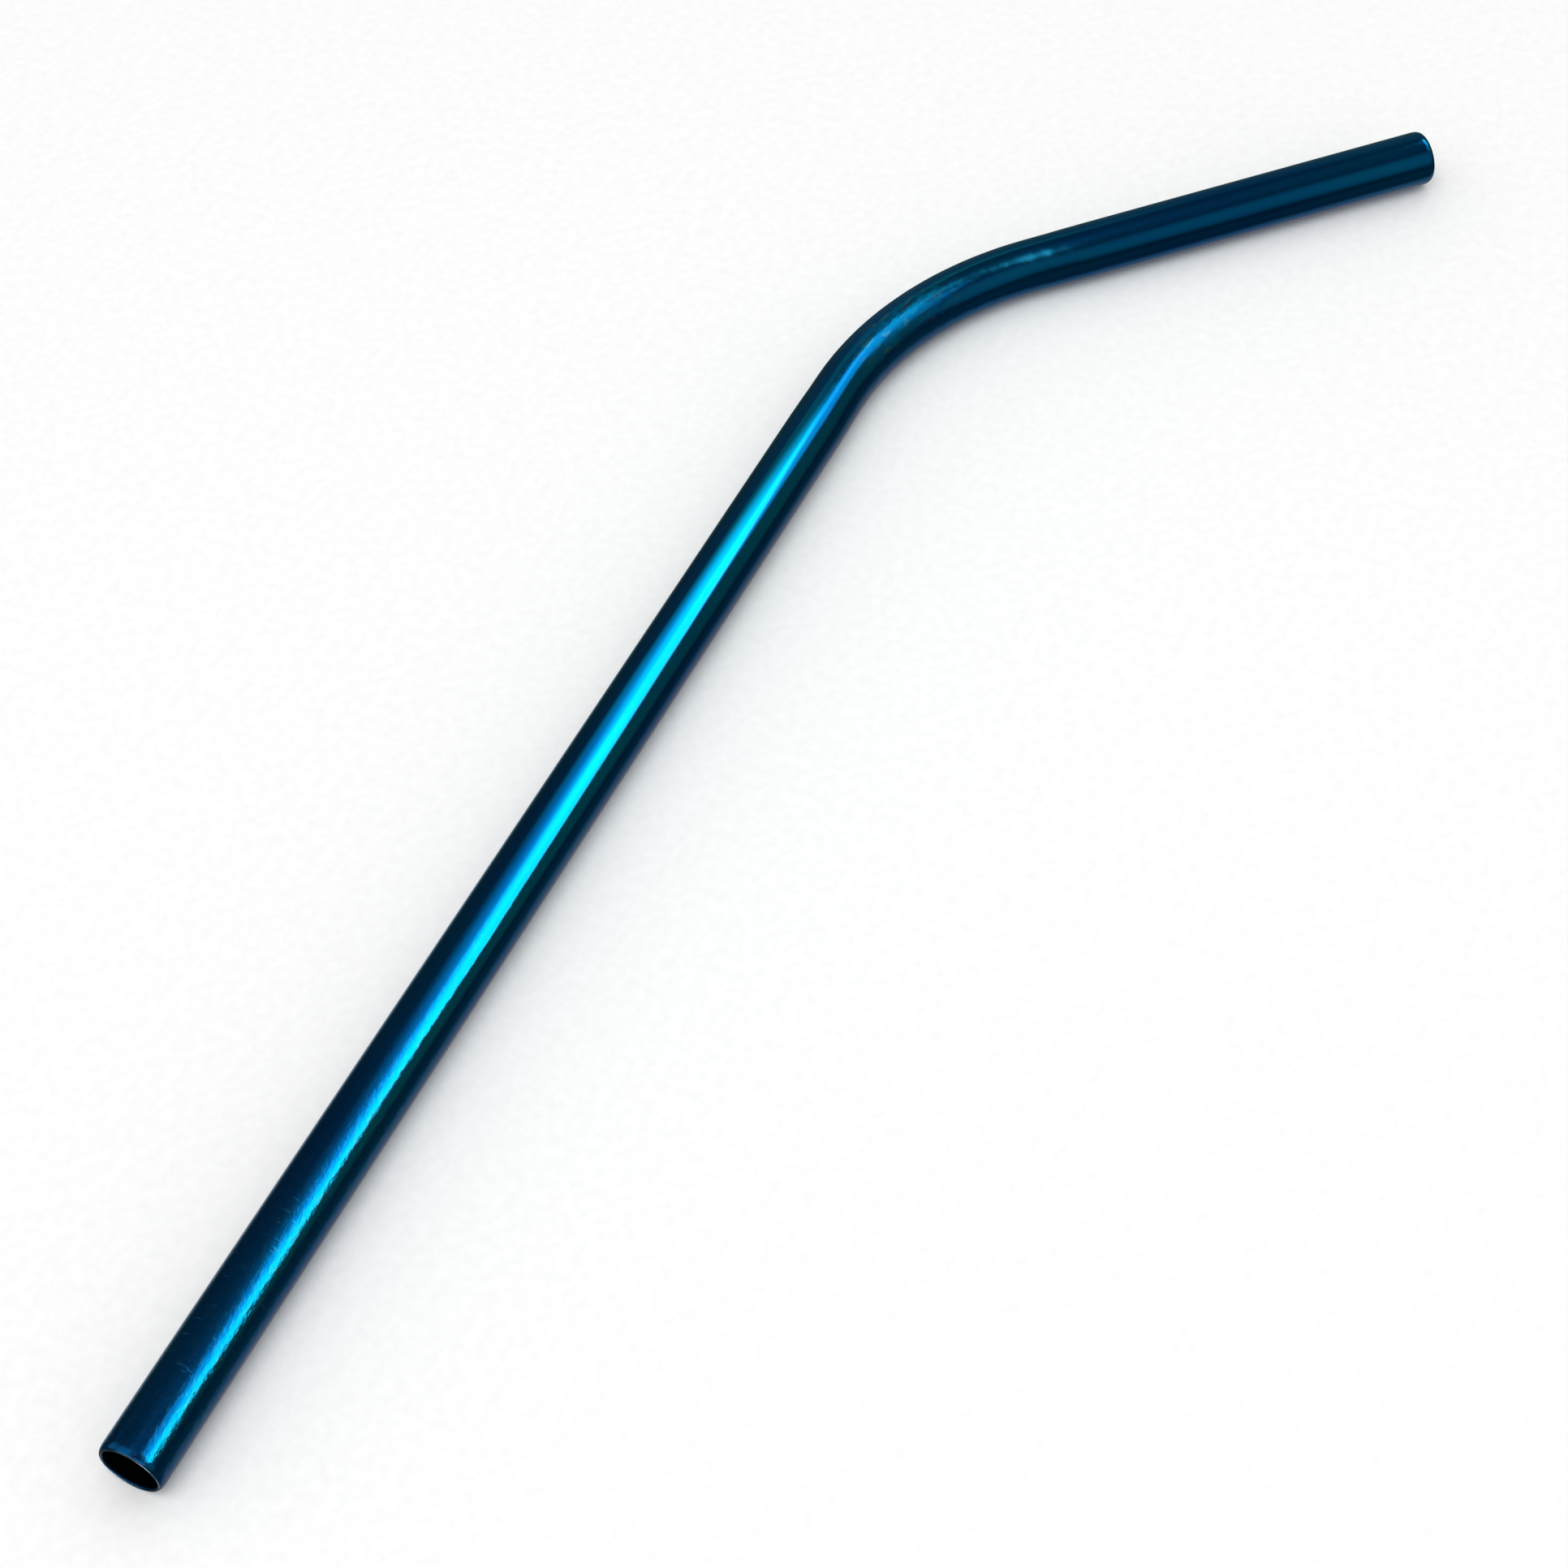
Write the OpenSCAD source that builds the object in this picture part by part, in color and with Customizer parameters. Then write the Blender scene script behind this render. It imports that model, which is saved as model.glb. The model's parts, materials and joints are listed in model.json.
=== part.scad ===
// Bent metal drinking straw: one thin-walled tube with a long stem, one bend and a short mouth arm.
// It lies on its side on Z = 0 with its bend flat in the XY plane, and the origin is under the
// middle of its box. The stem runs along +X, and the mouth arm turns from it towards -Y.
// The tube is one continuous length. Its three runs are separate nodes that meet face to face
// where the bend begins and ends.

/* [Tube] */
// Length of the tube before bending, along its centreline
tube_length = 215; // [180:1:270]
// Outside diameter of the tube
outside_diameter = 6; // [5:0.5:8]
// Thickness of the tube's wall
wall = 0.5; // [0.3:0.1:0.8]

/* [Bend] */
// Angle that the mouth arm turns away from the stem
bend_angle = 45; // [20:1:60]
// Radius of the bend, to the tube's centreline
bend_radius = 38; // [20:1:60]
// Length of the straight mouth arm, from the end of the bend to its lip
mouth_arm_length = 48; // [30:1:60]

/* [Lips] */
// How far along the tube the outer edge of each lip is rounded
lip_outer_length = 0.8; // [0.4:0.1:1.2]
// How far along the bore the inner edge of each lip is rounded
lip_inner_length = 0.25; // [0.1:0.05:0.5]
// Share of the wall that the outer rounding takes, where the inner rounding takes the rest
lip_outer_share = 0.6; // [0.5:0.05:0.8]

/* [Hidden] */
$fn = 96;
LIP_STEPS = 8;
BLUE_METAL = [0.0, 0.26, 0.46];

outer_radius = outside_diameter / 2;
bore_radius = outer_radius - wall;
// Radius of each lip's crest, the ring where its outer and inner roundings meet
crest_radius = outer_radius - wall * lip_outer_share;

bend_length = bend_radius * bend_angle * PI / 180;
stem_length = tube_length - bend_length - mouth_arm_length;

// Where the centreline runs, from the stem's lip at x = 0, y = 0
bend_end_x = stem_length + bend_radius * sin(bend_angle);
bend_end_y = -bend_radius * (1 - cos(bend_angle));
mouth_x = bend_end_x + mouth_arm_length * cos(bend_angle);
mouth_y = bend_end_y - mouth_arm_length * sin(bend_angle);

// Furthest that the mouth arm's rounded lip reaches from the middle of its crest, in a direction
// whose parts along and across the arm are given
function lip_reach(along, across) =
    crest_radius * across - lip_outer_length * along
    + norm([lip_outer_length * along, (outer_radius - crest_radius) * across]);

far_x = mouth_x + lip_reach(cos(bend_angle), sin(bend_angle));
far_y = mouth_y - lip_reach(sin(bend_angle), cos(bend_angle));

// Quarter ellipse from the outer wall in to the crest of the lip
function outer_rounding() = [
    for (i = [0:LIP_STEPS])
        let (a = 90 * i / LIP_STEPS)
        [crest_radius + (outer_radius - crest_radius) * cos(a), lip_outer_length * (1 - sin(a))]
];

// Quarter ellipse from the crest of the lip on to the wall of the bore
function inner_rounding() = [
    for (i = [1:LIP_STEPS])
        let (a = 90 * i / LIP_STEPS)
        [crest_radius - (crest_radius - bore_radius) * sin(a), lip_inner_length * (1 - cos(a))]
];

// Straight tube that rises along +Z from its rounded lip at Z = 0 to a plain end
module straight_run(length) {
    rotate_extrude()
        polygon(concat(
            outer_rounding(),
            inner_rounding(),
            [[bore_radius, length], [outer_radius, length]]
        ));
}

// Cross-section of the plain tube
module ring() {
    difference() {
        circle(r = outer_radius);
        circle(r = bore_radius);
    }
}

// Moves the straw from the stem's lip to the middle of its box, and lays it on Z = 0
module placed() {
    translate([-far_x / 2, -(outer_radius + far_y) / 2, outer_radius])
        children();
}

module stem() {
    color(BLUE_METAL)
        rotate([0, 90, 0])
            straight_run(stem_length);
}

module bend() {
    color(BLUE_METAL)
        translate([stem_length, -bend_radius, 0])
            rotate([0, 0, 90 - bend_angle])
                rotate_extrude(angle = bend_angle)
                    translate([bend_radius, 0])
                        ring();
}

module mouth_arm() {
    color(BLUE_METAL)
        translate([mouth_x, mouth_y, 0])
            rotate([0, 0, -bend_angle])
                rotate([0, -90, 0])
                    straight_run(mouth_arm_length);
}

placed() stem();
placed() bend();
placed() mouth_arm();
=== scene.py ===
"""Looks of a bent metal drinking straw: one mirror-polished blue tube on a pale studio floor."""
import json
import math

import bpy
from mathutils import Matrix, Quaternion, Vector, noise


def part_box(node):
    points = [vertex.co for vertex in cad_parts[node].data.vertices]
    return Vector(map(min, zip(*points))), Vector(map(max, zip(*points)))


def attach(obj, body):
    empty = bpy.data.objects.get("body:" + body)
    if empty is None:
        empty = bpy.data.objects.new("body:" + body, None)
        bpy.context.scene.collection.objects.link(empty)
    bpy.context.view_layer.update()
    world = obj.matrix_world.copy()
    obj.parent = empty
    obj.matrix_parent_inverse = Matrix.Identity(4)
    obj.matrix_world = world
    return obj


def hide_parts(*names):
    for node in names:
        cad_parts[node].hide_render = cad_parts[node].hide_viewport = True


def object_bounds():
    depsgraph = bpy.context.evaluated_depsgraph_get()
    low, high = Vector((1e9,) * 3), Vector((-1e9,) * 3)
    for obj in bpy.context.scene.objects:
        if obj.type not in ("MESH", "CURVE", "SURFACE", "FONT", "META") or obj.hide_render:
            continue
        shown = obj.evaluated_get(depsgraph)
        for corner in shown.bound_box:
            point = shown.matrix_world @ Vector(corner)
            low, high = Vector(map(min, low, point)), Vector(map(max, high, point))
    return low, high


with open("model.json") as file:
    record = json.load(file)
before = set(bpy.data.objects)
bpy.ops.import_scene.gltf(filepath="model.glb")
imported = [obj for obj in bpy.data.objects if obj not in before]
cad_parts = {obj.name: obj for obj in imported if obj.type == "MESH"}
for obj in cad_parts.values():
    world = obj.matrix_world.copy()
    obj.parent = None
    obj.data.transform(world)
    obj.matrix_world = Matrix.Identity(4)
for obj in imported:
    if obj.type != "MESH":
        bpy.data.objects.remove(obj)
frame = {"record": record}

cad_low, cad_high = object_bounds()

MM = 0.001
UP = Vector((0, 0, 1))

# ---------------------------------------------------------------------------------------------
# The tube's lines and sizes, all from the frame
# ---------------------------------------------------------------------------------------------

mounts = {m["name"]: m for m in frame["record"]["mounts"]}
stem_low, stem_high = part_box("stem")


def mount_place(name):
    return Vector(mounts[name]["pos_m"])


def mount_axis(name):
    return Vector(mounts[name]["axis"]).normalized()


OUTER_RADIUS = mounts["stem_outside"]["dims"]["r_mm"] * MM
BORE_RADIUS = mounts["stem_bore"]["dims"]["r_mm"] * MM
WALL = OUTER_RADIUS - BORE_RADIUS
LIP_OUTER_LENGTH = mount_place("stem_outside").x - stem_low.x
LIP_INNER_LENGTH = mount_place("stem_bore").x - stem_low.x
# Share of the wall that the lip's outer rounding takes
LIP_OUTER_SHARE = 0.6
CREST_RADIUS = OUTER_RADIUS - LIP_OUTER_SHARE * WALL

STEM_WAY = -mount_axis("stem_bore")
ARM_WAY = mount_axis("mouth_bore")
STEM_LIP = Vector((stem_low.x, mount_place("stem_bore").y, mount_place("stem_bore").z))
MOUTH_LIP = mount_place("mouth_bore") + ARM_WAY * LIP_INNER_LENGTH
STEM_LENGTH = stem_high.x - stem_low.x
BEND_ANGLE = STEM_WAY.angle(ARM_WAY)


def find_bend_radius():
    """Radius of the arc that leaves the stem's end and meets the mouth arm's line."""
    to_corner = (MOUTH_LIP.y - STEM_LIP.y) / ARM_WAY.y
    corner = MOUTH_LIP - ARM_WAY * to_corner
    tangent_length = corner.x - stem_high.x
    return tangent_length / math.tan(BEND_ANGLE / 2)


BEND_RADIUS = find_bend_radius()
BEND_LENGTH = BEND_RADIUS * BEND_ANGLE
BEND_START = STEM_LIP + STEM_WAY * STEM_LENGTH
# Sideways from the stem, towards the outside of the bend
STEM_SIDE = UP.cross(STEM_WAY)
BEND_CENTRE = BEND_START - STEM_SIDE * BEND_RADIUS
BEND_END = BEND_CENTRE + Matrix.Rotation(-BEND_ANGLE, 3, UP) @ (STEM_SIDE * BEND_RADIUS)
ARM_LENGTH = (MOUTH_LIP - BEND_END).length
TUBE_LENGTH = STEM_LENGTH + BEND_LENGTH + ARM_LENGTH


def centreline(along):
    """Point on the centreline, and the direction that points sideways to the bend's outside."""
    if along <= STEM_LENGTH:
        return STEM_LIP + STEM_WAY * along, STEM_SIDE
    turned = min((along - STEM_LENGTH) / BEND_RADIUS, BEND_ANGLE)
    side = Matrix.Rotation(-turned, 3, UP) @ STEM_SIDE
    point = BEND_CENTRE + side * BEND_RADIUS
    past_bend = along - STEM_LENGTH - BEND_LENGTH
    if past_bend > 0:
        point = BEND_END + ARM_WAY * past_bend
    return point, side


# ---------------------------------------------------------------------------------------------
# The tube's mesh
# ---------------------------------------------------------------------------------------------

SIDES = 128
LIP_STEPS = 10
STRAIGHT_STEP = 1.2 * MM
BEND_STEP = 0.22 * MM
BORE_STEP = 3.0 * MM
# How far beyond each end of the bend its marks fade out
BEND_FADE = 7 * MM
# Share of the tube's width that the bend loses across its own plane
BEND_FLATTENING = 0.03
# Waves that the bending tool left on the inside of the bend
RIPPLE_DEPTH = 0.010 * MM
RIPPLE_LENGTH = 2.6 * MM
# Shallow dents in the bend
MOTTLE_DEPTH = 0.018 * MM
MOTTLE_SIZE = 1.4 * MM
# Marks of drawing all along the tube, and how many times longer they are than wide
DRAWN_DEPTH = 0.003 * MM
DRAWN_STRETCH = 12


def smooth(value):
    value = min(max(value, 0.0), 1.0)
    return value * value * (3 - 2 * value)


def bend_share(along):
    """1 in the bend, fading to 0 a little way along each straight run."""
    rise = smooth((along - STEM_LENGTH + BEND_FADE) / BEND_FADE)
    fall = smooth((STEM_LENGTH + BEND_LENGTH + BEND_FADE - along) / BEND_FADE)
    return rise * fall


def unevenness(along, angle, share):
    """How far the wall lies inside a true cylinder."""
    around = Vector((along, OUTER_RADIUS * math.cos(angle), OUTER_RADIUS * math.sin(angle)))
    mottle = 0.5 + 0.5 * noise.noise(around / MOTTLE_SIZE)
    drawn = 0.5 + 0.5 * noise.noise(Vector((around.x / DRAWN_STRETCH, around.y, around.z)) / MOTTLE_SIZE)
    inside = max(0.0, -math.cos(angle)) ** 2
    ripple = 0.5 - 0.5 * math.cos(2 * math.pi * along / RIPPLE_LENGTH)
    return share * (MOTTLE_DEPTH * mottle + RIPPLE_DEPTH * inside * ripple) + DRAWN_DEPTH * drawn


def steps(start, end, size):
    """Evenly spaced places from start to end, without end itself."""
    count = max(1, math.ceil((end - start) / size))
    return [start + (end - start) * i / count for i in range(count)]


def outer_wall():
    """Rings of the outside from lip to lip, as (place along the tube, radius, 0 for outside)."""
    rounding = [math.pi / 2 * i / LIP_STEPS for i in range(LIP_STEPS, 0, -1)]
    rise = OUTER_RADIUS - CREST_RADIUS
    lip = [(LIP_OUTER_LENGTH * (1 - math.sin(a)), CREST_RADIUS + rise * math.cos(a)) for a in rounding]
    bend_from = STEM_LENGTH - BEND_FADE
    bend_to = STEM_LENGTH + BEND_LENGTH + BEND_FADE
    places = steps(LIP_OUTER_LENGTH, bend_from, STRAIGHT_STEP)
    places += steps(bend_from, bend_to, BEND_STEP)
    places += steps(bend_to, TUBE_LENGTH - LIP_OUTER_LENGTH, STRAIGHT_STEP)
    places.append(TUBE_LENGTH - LIP_OUTER_LENGTH)
    rings = lip + [(place, OUTER_RADIUS) for place in places]
    rings += [(TUBE_LENGTH - along, radius) for along, radius in reversed(lip)]
    return [(along, radius, 0.0) for along, radius in rings]


def inner_wall():
    """Rings of the bore on from the outer wall's last ring, back to its first."""
    rounding = [math.pi / 2 * i / LIP_STEPS for i in range(1, LIP_STEPS + 1)]
    fall = CREST_RADIUS - BORE_RADIUS
    lip = [
        (LIP_INNER_LENGTH * (1 - math.cos(a)), CREST_RADIUS - fall * math.sin(a), i)
        for i, a in enumerate(rounding, 1)
    ]
    places = steps(LIP_INNER_LENGTH, TUBE_LENGTH - LIP_INNER_LENGTH, BORE_STEP)[1:]
    mouth = [(TUBE_LENGTH - along, radius, i / LIP_STEPS) for along, radius, i in lip]
    bore = [(place, BORE_RADIUS, 1.0) for place in reversed(places)]
    stem = [(along, radius, i / LIP_STEPS) for along, radius, i in reversed(lip)]
    return mouth + bore + stem


def crest_share(radius, bore):
    """1 on the crest of each lip, and 0 where its roundings end."""
    if bore:
        return 1 - smooth((CREST_RADIUS - radius) / (CREST_RADIUS - BORE_RADIUS))
    return 1 - smooth((radius - CREST_RADIUS) / (OUTER_RADIUS - CREST_RADIUS))


def ring(along, radius, bore):
    """Points round the tube, with their place on the tube as if it were straight, in millimetres."""
    centre, side = centreline(along)
    share = bend_share(along)
    points = []
    for i in range(SIDES):
        angle = 2 * math.pi * i / SIDES
        reach = radius - (1 - bore) * unevenness(along, angle, share)
        across = reach * math.cos(angle)
        squeezed = across * (1 - BEND_FLATTENING * share)
        height = reach * math.sin(angle)
        place = centre + side * squeezed + UP * height
        points.append((place, Vector((along, across, height)) / MM))
    return points


def make_tube():
    rings = outer_wall() + inner_wall()
    vertices = []
    straightened = []
    bore_marks = []
    bend_marks = []
    crest_marks = []
    for along, radius, bore in rings:
        for place, straight in ring(along, radius, bore):
            vertices.append(place)
            straightened.append(straight)
            bore_marks.append(bore)
            bend_marks.append(bend_share(along))
            crest_marks.append(crest_share(radius, bore))
    faces = []
    for r in range(len(rings)):
        here = r * SIDES
        after = (r + 1) % len(rings) * SIDES
        for i in range(SIDES):
            j = (i + 1) % SIDES
            faces.append((here + j, after + j, after + i, here + i))
    mesh = bpy.data.meshes.new("straw")
    mesh.from_pydata(vertices, [], faces)
    mesh.polygons.foreach_set("use_smooth", [True] * len(faces))
    straight_data = mesh.attributes.new("straight", "FLOAT_VECTOR", "POINT")
    straight_data.data.foreach_set("vector", [c for v in straightened for c in v])
    for name, marks in (("bore", bore_marks), ("bend", bend_marks), ("crest", crest_marks)):
        mesh.attributes.new(name, "FLOAT", "POINT").data.foreach_set("value", marks)
    mesh.validate()
    mesh.update()
    straw = bpy.data.objects.new("straw", mesh)
    bpy.context.scene.collection.objects.link(straw)
    return straw


# ---------------------------------------------------------------------------------------------
# Materials
# ---------------------------------------------------------------------------------------------


class Nodes:
    """Short names for the nodes of one material or world."""

    def __init__(self, owner):
        owner.use_nodes = True
        self.tree = owner.node_tree
        self.tree.nodes.clear()

    def add(self, kind, **settings):
        node = self.tree.nodes.new(kind)
        for name, value in settings.items():
            setattr(node, name, value)
        return node

    def join(self, value, socket):
        """Joins an output to a socket, or sets the socket to a number or a colour."""
        if isinstance(value, tuple):
            socket.default_value = (*value, 1)
        elif isinstance(value, (int, float)):
            socket.default_value = value
        else:
            self.tree.links.new(value, socket)

    def attribute(self, name, output):
        return self.add("ShaderNodeAttribute", attribute_name=name).outputs[output]

    def maths(self, operation, first, second):
        node = self.add("ShaderNodeMath", operation=operation)
        self.join(first, node.inputs[0])
        self.join(second, node.inputs[1])
        return node.outputs[0]

    def total(self, first, *others):
        for value in others:
            first = self.maths("ADD", first, value)
        return first

    def product(self, first, *others):
        for value in others:
            first = self.maths("MULTIPLY", first, value)
        return first

    def stretched(self, vector, scale):
        node = self.add("ShaderNodeVectorMath", operation="MULTIPLY")
        self.join(vector, node.inputs[0])
        node.inputs[1].default_value = scale
        return node.outputs[0]

    def noise(self, vector, scale, detail=2.0, roughness=0.5):
        node = self.add("ShaderNodeTexNoise")
        self.join(vector, node.inputs["Vector"])
        node.inputs["Scale"].default_value = scale
        node.inputs["Detail"].default_value = detail
        node.inputs["Roughness"].default_value = roughness
        return node.outputs["Fac"]

    def parts(self, vector):
        node = self.add("ShaderNodeSeparateXYZ")
        self.join(vector, node.inputs[0])
        return node.outputs

    def span(self, value, low, high, to_low=0.0, to_high=1.0):
        node = self.add("ShaderNodeMapRange", interpolation_type="SMOOTHSTEP")
        self.join(value, node.inputs["Value"])
        ends = {"From Min": low, "From Max": high, "To Min": to_low, "To Max": to_high}
        for name, number in ends.items():
            node.inputs[name].default_value = number
        return node.outputs["Result"]

    def ramp(self, value, stops):
        node = self.add("ShaderNodeValToRGB")
        while len(node.color_ramp.elements) < len(stops):
            node.color_ramp.elements.new(0.5)
        for element, (place, colour) in zip(node.color_ramp.elements, stops):
            element.position = place
            element.color = (*colour, 1)
        self.join(value, node.inputs[0])
        return node.outputs["Color"]

    def mix(self, share, first, second):
        node = self.add("ShaderNodeMix", data_type="RGBA")
        self.join(share, node.inputs[0])
        self.join(first, node.inputs[6])
        self.join(second, node.inputs[7])
        return node.outputs[2]


DEEP_BLUE = (0.004, 0.14, 0.47)
MID_BLUE = (0.004, 0.17, 0.50)
TEAL_BLUE = (0.004, 0.20, 0.48)
# Painted shade inside the bore: its hollow is coloured near black
BORE_PAINTED_SHADE = (0.004, 0.006, 0.010)
RUBBED_STEEL = (0.30, 0.42, 0.52)

# The metal's marks are noise over the place on the straightened tube, in millimetres along it, across
# it and up. Each STRETCH multiplies those three first, so a small number makes long marks. Each NOISE
# is a scale per millimetre, a detail and sometimes a roughness. Between the two values of a SPAN, a
# mark grows from nothing to full, or a roughness passes from its first value to its second. A FADE is
# the same for a place along the tube. WEAR is how much bare steel shows, ROUGHNESS what is added to
# the metal's own, and HEIGHT or DEPTH the relief, in units of BUMP_DISTANCE.
BUMP_DISTANCE = 0.012 * MM

TINT_STRETCH = (0.04, 0.35, 0.35)
TINT_NOISE = (1.0, 3)
TINT_STOPS = [(0.25, DEEP_BLUE), (0.5, MID_BLUE), (0.78, TEAL_BLUE)]

# The crest of each lip is rubbed, and the bore is dull, with its shade painted near black
CREST_SPAN = (0.35, 0.95)
CREST_WEAR = 0.8
BORE_SHADE_SPAN = (0.3, 0.9)
BORE_ROUGHNESS = 0.4
BEND_ROUGHNESS = 0.02

# Scratches round the tube, in some places only. They fade out along the stem from its lip.
SCRATCH_STRETCH = (5, 0.5, 0.5)
SCRATCH_NOISE = (1.0, 1)
SCRATCH_SPAN = (0.66, 0.74)
SCRATCHED_STRETCH = (0.4, 0.6, 0.6)
SCRATCHED_SPAN = (0.50, 0.62)
SCRATCHED_FADE = (5.0, 60.0)
SCRATCH_WEAR = 0.12
SCRATCH_ROUGHNESS = 0.2
SCRATCH_DEPTH = 0.8

# Unevenness and scuffs of handling, which fade to a small share along the stem from its lip
HANDLED_STRETCH = (0.45, 1, 1)
HANDLED_NOISE = (2.6, 3, 0.65)
HANDLED_FADE = (12.0, 75.0)
HANDLED_ELSEWHERE = 0.06
HANDLED_HEIGHT = 2.4
SCUFF_SPAN = (0.48, 0.64)
SCUFF_WEAR = 0.10

# Where the bending tool dulled and crushed the wall, in millimetres from the stem's lip: where the
# marks begin, where they are full, from where they fade, and where they end
CRUSHED = [(STEM_LENGTH + share * BEND_LENGTH) / MM for share in (0.05, 0.20, 0.38, 0.80)]
# How far above the centreline they begin and are full, in millimetres
CRUSHED_UP = (0.5, 2.0)
CRUSHED_STRETCH = (0.45, 1, 1)
CRUSHED_NOISE = (1.1, 1.5, 0.5)
CRUSHED_HEIGHT = 3.4
# Roughness where the wall is pushed in and where it stands out, and how the raised spots are rubbed
CRUSHED_ROUGHNESS = (0.18, 0.05)
CRUSHED_SPAN = (0.35, 0.60)
RAISED_SPAN = (0.52, 0.62)
RAISED_WEAR = 0.22

# Orange peel. The polish follows it everywhere, and its relief shows in the bend only.
PEEL_NOISE = (1.7, 3, 0.6)
PEEL_SPAN = (0.3, 0.8)
POLISH = (0.06, 0.12)
PEEL_HEIGHT = 0.4
# Fine grain, and lines along the tube where it was drawn
GRAIN_NOISE = (9.0, 2, 0.6)
GRAIN_HEIGHT = 0.05
DRAWN_LINES_STRETCH = (0.05, 1, 1)
DRAWN_LINES_NOISE = (4.0, 3)
DRAWN_LINES_HEIGHT = 0.15


def scratches(n, place, along):
    """Share of a scratch at each place."""
    turned = n.noise(n.stretched(place, SCRATCH_STRETCH), *SCRATCH_NOISE)
    patchy = n.noise(n.stretched(place, SCRATCHED_STRETCH), *SCRATCH_NOISE)
    where = n.product(n.span(patchy, *SCRATCHED_SPAN), n.span(along, *SCRATCHED_FADE, 1.0, 0.0))
    return n.product(n.span(turned, *SCRATCH_SPAN), where)


def handling(n, place, along):
    """Unevenness of handling, and how much of it there is at each place."""
    handled = n.noise(n.stretched(place, HANDLED_STRETCH), *HANDLED_NOISE)
    return handled, n.span(along, *HANDLED_FADE, 1.0, HANDLED_ELSEWHERE)


def crushing(n, place, along):
    """Unevenness left by the bending tool, and how much of it there is at each place."""
    crushed = n.noise(n.stretched(place, CRUSHED_STRETCH), *CRUSHED_NOISE)
    begins, full, fades, ends = CRUSHED
    above = n.span(n.parts(place)["Z"], *CRUSHED_UP)
    where = n.product(n.span(along, begins, full), n.span(along, fades, ends, 1.0, 0.0), above)
    return crushed, where


def blue_metal():
    """Mirror-polished steel with a blue coating, rubbed and mottled where it was bent."""
    material = bpy.data.materials.new("blue_metal")
    n = Nodes(material)
    place = n.attribute("straight", "Vector")
    along = n.parts(place)["X"]
    bend = n.attribute("bend", "Fac")
    bore = n.attribute("bore", "Fac")
    crest = n.attribute("crest", "Fac")
    scratch = scratches(n, place, along)
    handled, handled_where = handling(n, place, along)
    crushed, crushed_where = crushing(n, place, along)
    peel = n.noise(place, *PEEL_NOISE)
    grain = n.noise(place, *GRAIN_NOISE)
    drawn = n.noise(n.stretched(place, DRAWN_LINES_STRETCH), *DRAWN_LINES_NOISE)

    coating = n.ramp(n.noise(n.stretched(place, TINT_STRETCH), *TINT_NOISE), TINT_STOPS)
    scuff = n.product(n.span(handled, *SCUFF_SPAN, 0.0, SCUFF_WEAR), handled_where)
    raised_worn = n.product(n.span(crushed, *RAISED_SPAN, 0.0, RAISED_WEAR), crushed_where)
    crest_worn = n.span(crest, *CREST_SPAN, 0.0, CREST_WEAR)
    worn = n.total(crest_worn, n.product(scratch, SCRATCH_WEAR), n.total(scuff, raised_worn))
    rubbed = n.mix(worn, coating, RUBBED_STEEL)
    # Inside the bore the colour fades to near black: painted shade of its hollow
    colour = n.mix(n.span(bore, *BORE_SHADE_SPAN), rubbed, BORE_PAINTED_SHADE)

    rough = n.total(
        n.span(peel, *PEEL_SPAN, *POLISH),
        n.product(bend, BEND_ROUGHNESS),
        n.product(crushed_where, n.span(crushed, *CRUSHED_SPAN, *CRUSHED_ROUGHNESS)),
        n.product(scratch, SCRATCH_ROUGHNESS),
        n.product(bore, BORE_ROUGHNESS),
    )
    relief = n.total(
        n.product(drawn, DRAWN_LINES_HEIGHT),
        n.product(grain, GRAIN_HEIGHT),
        n.product(handled, handled_where, HANDLED_HEIGHT),
        n.product(peel, bend, PEEL_HEIGHT),
        n.product(crushed, crushed_where, CRUSHED_HEIGHT),
    )
    bump = n.add("ShaderNodeBump")
    bump.inputs["Strength"].default_value = 1.0
    bump.inputs["Distance"].default_value = BUMP_DISTANCE
    n.join(n.maths("SUBTRACT", relief, n.product(scratch, SCRATCH_DEPTH)), bump.inputs["Height"])

    shader = n.add("ShaderNodeBsdfPrincipled")
    shader.inputs["Metallic"].default_value = 1.0
    n.join(colour, shader.inputs["Base Color"])
    n.join(rough, shader.inputs["Roughness"])
    n.join(bump.outputs["Normal"], shader.inputs["Normal"])
    n.join(shader.outputs[0], n.add("ShaderNodeOutputMaterial").inputs["Surface"])
    return material


# Waves per metre in the paper, and its two shades
PAPER_SCALE = 900.0
PAPER_STOPS = [(0.3, (0.86, 0.86, 0.86)), (0.7, (0.90, 0.90, 0.90))]
PAPER_ROUGHNESS = 0.9
PAPER_GLOSS = 0.2


def floor_material():
    """Pale matt paper."""
    material = bpy.data.materials.new("pale_floor")
    n = Nodes(material)
    paper = n.noise(n.add("ShaderNodeTexCoord").outputs["Object"], PAPER_SCALE, 3)
    shader = n.add("ShaderNodeBsdfPrincipled")
    n.join(n.ramp(paper, PAPER_STOPS), shader.inputs["Base Color"])
    shader.inputs["Roughness"].default_value = PAPER_ROUGHNESS
    shader.inputs["Specular IOR Level"].default_value = PAPER_GLOSS
    n.join(shader.outputs[0], n.add("ShaderNodeOutputMaterial").inputs["Surface"])
    return material


# ---------------------------------------------------------------------------------------------
# Studio
# ---------------------------------------------------------------------------------------------

# The camera comes from a fit to the edges of the tube in the photo, and not from the frame
CAMERA_PLACE = Vector((-0.1750, -0.0816, 0.2129))
CAMERA_WAY = Vector((0.5770, 0.3094, -0.7559))
CAMERA_ROLL = math.radians(-4.3)
CAMERA_LENS = 67.8
SENSOR_WIDTH = 36
NEAREST_SEEN = 0.01


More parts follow.
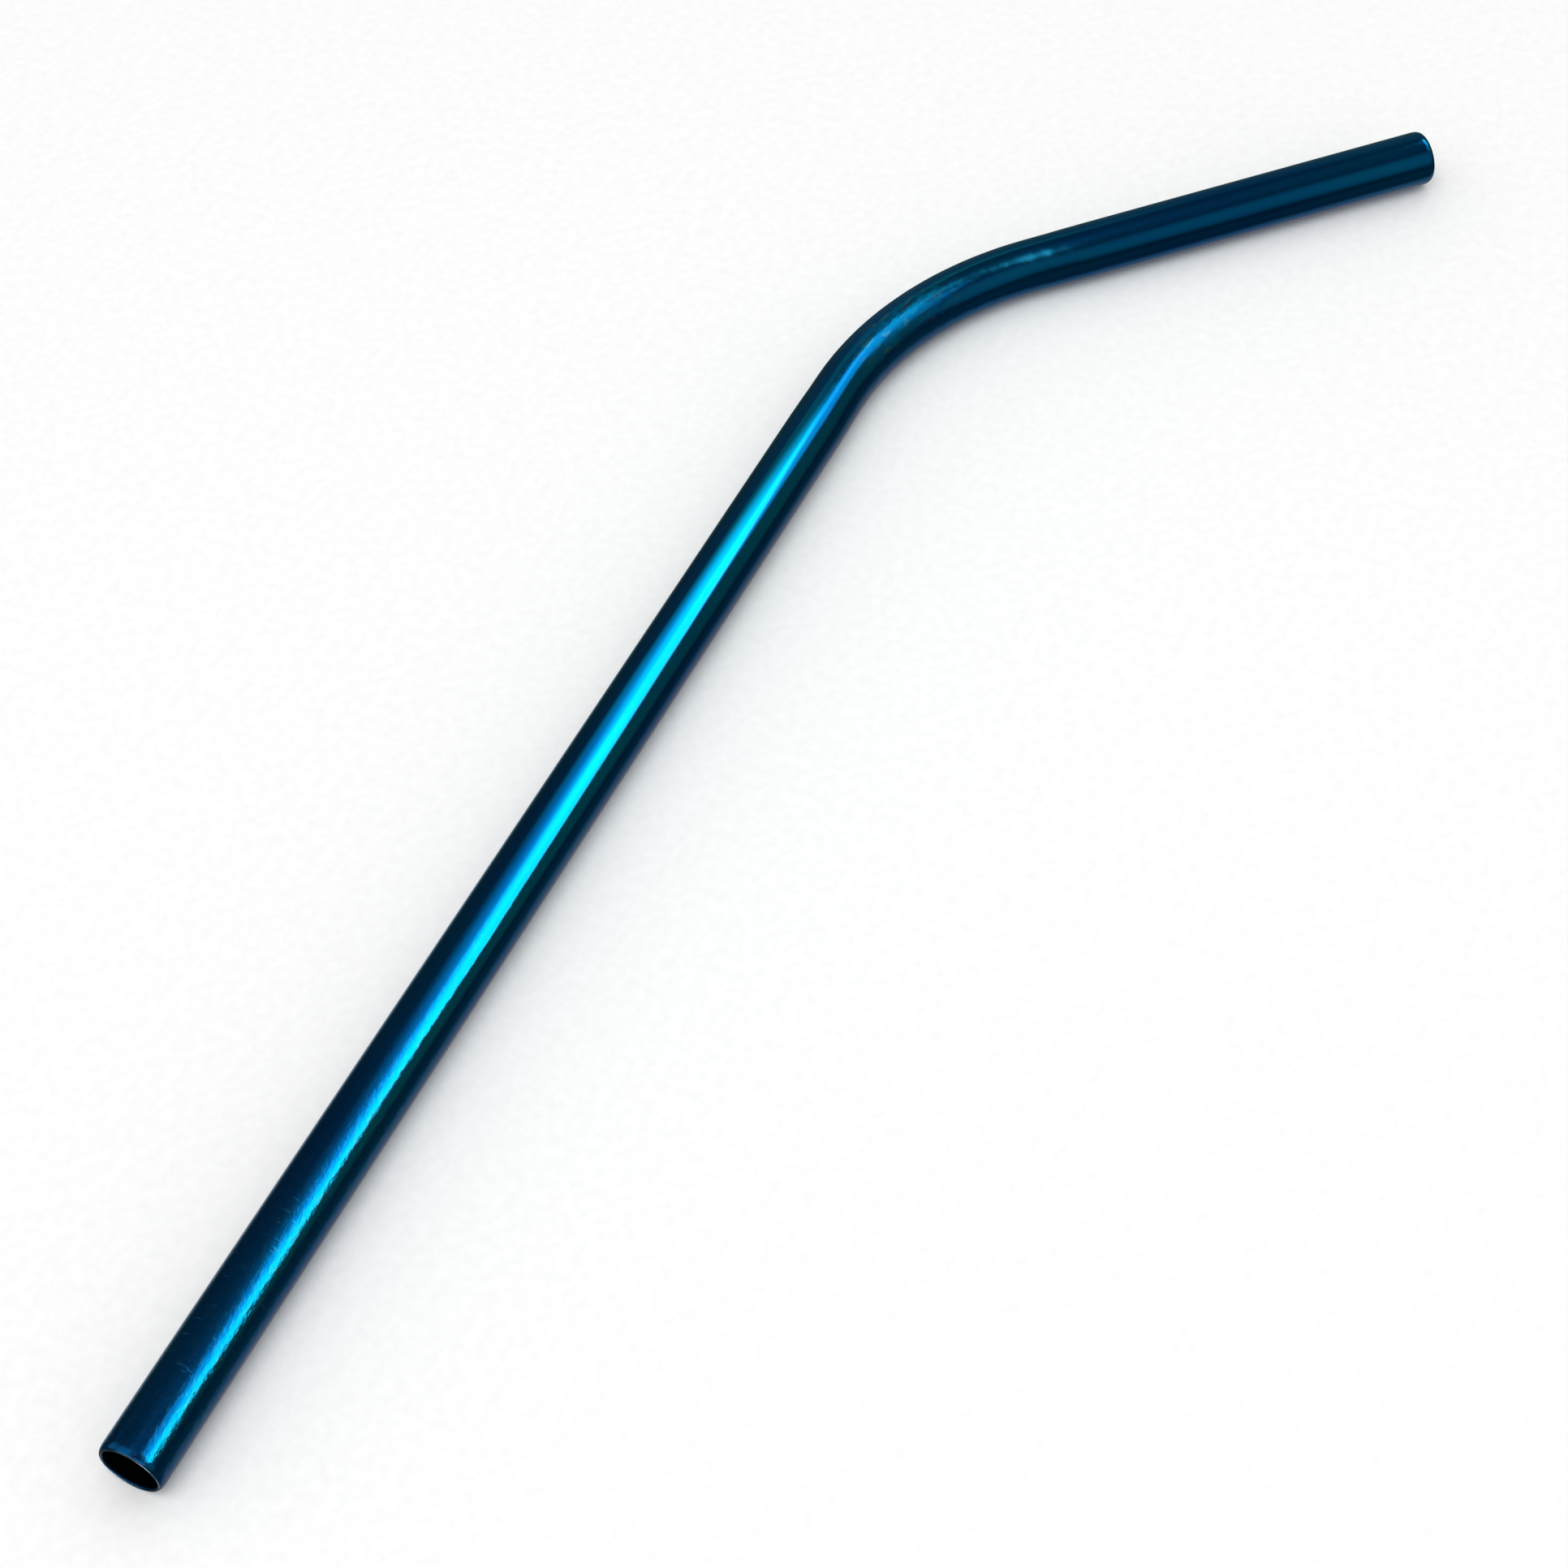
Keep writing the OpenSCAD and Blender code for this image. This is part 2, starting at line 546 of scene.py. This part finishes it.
def make_camera():
    data = bpy.data.cameras.new("camera")
    data.lens = CAMERA_LENS
    data.sensor_width = SENSOR_WIDTH
    data.clip_start = NEAREST_SEEN
    camera = bpy.data.objects.new("camera", data)
    bpy.context.scene.collection.objects.link(camera)
    camera.rotation_mode = "QUATERNION"
    level = CAMERA_WAY.to_track_quat("-Z", "Y")
    camera.rotation_quaternion = level @ Quaternion((0, 0, 1), CAMERA_ROLL)
    camera.location = CAMERA_PLACE
    bpy.context.scene.camera = camera


def rectangle(name, along, across):
    """Flat card in its own XY plane, over two (low, high) spans."""
    corners = [
        (along[0], across[0], 0),
        (along[1], across[0], 0),
        (along[1], across[1], 0),
        (along[0], across[1], 0),
    ]
    mesh = bpy.data.meshes.new(name)
    mesh.from_pydata(corners, [], [(0, 1, 2, 3)])
    card = bpy.data.objects.new(name, mesh)
    bpy.context.scene.collection.objects.link(card)
    return card


FLOOR_REACH = 6


def make_floor():
    floor = rectangle("floor", (-FLOOR_REACH, FLOOR_REACH), (-FLOOR_REACH, FLOOR_REACH))
    floor.location.z = cad_low.z
    floor.data.materials.append(floor_material())
    floor.visible_glossy = False


# Card that lights the tube from close above, laid at a slant over the stem. Its light isn't plain
# white, but green-blue, and rich in red along its lower edge. Its colours and sizes are set so that
# the tube mirrors what it does in the photo. X is the place along the card and Y across it.
KEY_CORNER = Vector((-0.068, -0.116, 0.060))
KEY_TURN = math.radians(38.5)
KEY_LENGTH = 0.260
KEY_LOWEST = -0.012
KEY_HIGHEST = 0.118
# Across the card, the bright core fades out first and the fainter halo beyond it
KEY_CORE_FADE = (0.036, 0.072)
KEY_HALO_FADE = (0.050, 0.115)
KEY_HALO_CURVE = 1.5
# Both fade out sooner towards the card's far end, where Y counts for this share more
KEY_NARROWER = 0.12
KEY_NARROWS = (0.130, 0.185)
# Along the card, it fades out towards its far end
KEY_FAR_FADE = (0.167, 0.222)
# Its far lower corner is cut off along a line of this slant
KEY_CUT_SLANT = 2.0
KEY_CUT = (0.165, 0.190)
# Its lower edge has a soft notch of this depth, which deepens and then ends along the card
KEY_NOTCH = 0.020
KEY_NOTCH_DEEPENS = (0.035, 0.078)
KEY_NOTCH_ENDS = (0.082, 0.098)
# Above the lower edge, the light rises to full, and its colour turns from the edge's to the core's
KEY_RISE = (-0.010, 0.006)
KEY_EDGE = (0.001, 0.007)
KEY_CORE_STRENGTH = 3.0
KEY_HALO_STRENGTH = 1.25
KEY_CORE_COLOUR = (0.05, 1.0, 0.43)
KEY_HALO_COLOUR = (0.05, 1.0, 1.0)
KEY_EDGE_COLOUR = (3.0, 0.95, 0.40)


def with_light(n, shader, colour, strength):
    """What a shader gives, with light of one colour and strength added."""
    emission = n.add("ShaderNodeEmission")
    n.join(colour, emission.inputs["Color"])
    n.join(strength, emission.inputs["Strength"])
    both = n.add("ShaderNodeAddShader")
    n.join(shader, both.inputs[0])
    n.join(emission.outputs[0], both.inputs[1])
    return both.outputs[0]


def key_material():
    """Light with a full core, a fainter halo, a soft notched lower edge and a soft far end."""
    material = bpy.data.materials.new("key_glow")
    n = Nodes(material)
    place = n.parts(n.add("ShaderNodeTexCoord").outputs["Object"])
    spread = n.product(place["Y"], n.span(place["X"], *KEY_NARROWS, 1.0, 1.0 + KEY_NARROWER))
    core = n.span(spread, *KEY_CORE_FADE, 1.0, 0.0)
    halo = n.maths("POWER", n.span(spread, *KEY_HALO_FADE, 1.0, 0.0), KEY_HALO_CURVE)
    along = n.span(place["X"], *KEY_FAR_FADE, 1.0, 0.0)
    slanted = n.maths("SUBTRACT", place["X"], n.product(place["Y"], KEY_CUT_SLANT))
    cut = n.span(slanted, *KEY_CUT, 1.0, 0.0)
    deepening = n.span(place["X"], *KEY_NOTCH_DEEPENS, 0.0, KEY_NOTCH)
    notch = n.product(deepening, n.span(place["X"], *KEY_NOTCH_ENDS, 1.0, 0.0))
    above_edge = n.maths("SUBTRACT", place["Y"], notch)
    kept = n.product(n.span(above_edge, *KEY_RISE), n.product(along, cut))
    colour = n.mix(n.span(above_edge, *KEY_EDGE, 1.0, 0.0), KEY_CORE_COLOUR, KEY_EDGE_COLOUR)
    glow = n.add("ShaderNodeBsdfTransparent").outputs[0]
    glow = with_light(n, glow, colour, n.product(core, kept, KEY_CORE_STRENGTH))
    glow = with_light(n, glow, KEY_HALO_COLOUR, n.product(halo, kept, KEY_HALO_STRENGTH))
    n.join(glow, n.add("ShaderNodeOutputMaterial").inputs["Surface"])
    material.cycles.emission_sampling = "NONE"
    return material


def make_key_card():
    card = rectangle("key_card", (0, KEY_LENGTH), (KEY_LOWEST, KEY_HIGHEST))
    card.data.materials.append(key_material())
    card.location = KEY_CORNER
    card.rotation_euler.z = KEY_TURN
    only_mirrored(card)


def only_mirrored(card):
    """Hides a card from everything but mirror reflections."""
    card.visible_camera = False
    card.visible_diffuse = False
    card.visible_shadow = False
    card.visible_transmission = False


SOFTBOX_PLACE = Vector((-0.5, -0.1, 1.3))
SOFTBOX_SIZE = 0.9
SOFTBOX_POWER = 5.5


def make_softbox():
    """Lights the floor, and gives the tube its soft shadow."""
    data = bpy.data.lights.new("softbox", "AREA")
    data.shape = "SQUARE"
    data.size = SOFTBOX_SIZE
    data.energy = SOFTBOX_POWER
    lamp = bpy.data.objects.new("softbox", data)
    bpy.context.scene.collection.objects.link(lamp)
    lamp.rotation_mode = "QUATERNION"
    lamp.rotation_quaternion = (-SOFTBOX_PLACE).to_track_quat("-Z", "Y")
    lamp.location = SOFTBOX_PLACE
    lamp.visible_glossy = False


# What the tube mirrors further off, beyond the card: dim colours by elevation, from straight down to
# straight up. Like the card's, they are set to what the tube mirrors in the photo.
STUDIO_LEVELS = [
    (-90, (0.08, 0.08, 0.08)),
    (-45, (0.05, 0.06, 0.06)),
    (-25, (0.03, 0.08, 0.07)),
    (-5, (0.03, 0.05, 0.045)),
    (20, (0.04, 0.06, 0.06)),
    (57, (0.06, 0.08, 0.08)),
    (68, (0.08, 0.11, 0.11)),
    (90, (0.25, 0.25, 0.27)),
]
# Soft patches of light added to them: azimuth, elevation, how far each is full and how far it reaches,
# all in degrees, and its colour
STUDIO_PATCHES = [
    (-35, -62, 14, 40, (0.26, 0.19, 0.16)),
    (-55, 22, 12, 26, (0.06, 0.13, 0.04)),
    (31, 40, 3, 12, (0.04, 0.22, 0.09)),
    (-27, 46, 5, 16, (0.50, 1.50, 1.25)),
    (-57, 46, 4, 14, (0.15, 0.55, 0.50)),
    (-11, 45, 3, 9, (0.4, 1.5, 1.2)),
    (-100, 24, 2, 32, (0.06, 0.19, 0.14)),
    (15, 10, 20, 42, (0.04, 0.08, 0.06)),
    (-178, -22, 6, 16, (2.0, 2.0, 2.0)),
    (120, 60, 8, 30, (0.25, 0.25, 0.25)),
    (94, 24, 4, 24, (0.22, 0.25, 0.25)),
    (160, 35, 10, 40, (0.28, 0.30, 0.30)),
    (-142, 35, 6, 24, (0.40, 0.45, 0.45)),
    (60, -42, 8, 22, (0.30, 0.30, 0.28)),
    (175, -60, 8, 24, (0.30, 0.30, 0.28)),
]


def compass(azimuth, elevation):
    """Direction with a given azimuth and elevation, in degrees."""
    azimuth = math.radians(azimuth)
    elevation = math.radians(elevation)
    flat = math.cos(elevation)
    return Vector((math.cos(azimuth) * flat, math.sin(azimuth) * flat, math.sin(elevation)))


def mirrored_studio(n, way):
    """Colour that the tube mirrors from each direction."""
    share = n.product(n.total(n.parts(way)["Z"], 1.0), 0.5)
    stops = [((1 + compass(0, elevation).z) / 2, colour) for elevation, colour in STUDIO_LEVELS]
    colour = n.ramp(share, stops)
    for azimuth, elevation, full, whole, light in STUDIO_PATCHES:
        nearness = n.add("ShaderNodeVectorMath", operation="DOT_PRODUCT")
        n.join(way, nearness.inputs[0])
        nearness.inputs[1].default_value = compass(azimuth, elevation)
        low = math.cos(math.radians(whole))
        high = math.cos(math.radians(full))
        patch = n.add("ShaderNodeMix", data_type="RGBA", blend_type="ADD")
        n.join(n.span(nearness.outputs["Value"], low, high), patch.inputs[0])
        n.join(colour, patch.inputs[6])
        n.join(light, patch.inputs[7])
        colour = patch.outputs[2]
    return colour


PALE = (0.90, 0.90, 0.90)


def make_world():
    """Pale soft light all round, and the dim studio that mirror reflections see in its place."""
    world = bpy.data.worlds.new("studio")
    bpy.context.scene.world = world
    n = Nodes(world)
    mirrored = n.add("ShaderNodeBackground")
    n.join(mirrored_studio(n, n.add("ShaderNodeTexCoord").outputs["Generated"]), mirrored.inputs["Color"])
    pale = n.add("ShaderNodeBackground")
    n.join(PALE, pale.inputs["Color"])
    seen = n.add("ShaderNodeMixShader")
    n.join(n.add("ShaderNodeLightPath").outputs["Is Glossy Ray"], seen.inputs[0])
    n.join(pale.outputs[0], seen.inputs[1])
    n.join(mirrored.outputs[0], seen.inputs[2])
    n.join(seen.outputs[0], n.add("ShaderNodeOutputWorld").inputs["Surface"])


make_camera()
make_floor()
make_key_card()
make_softbox()
make_world()

bpy.context.scene.view_settings.view_transform = "Standard"

straw = make_tube()
straw.data.materials.append(blue_metal())
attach(straw, "root")
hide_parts("stem", "bend", "mouth_arm")
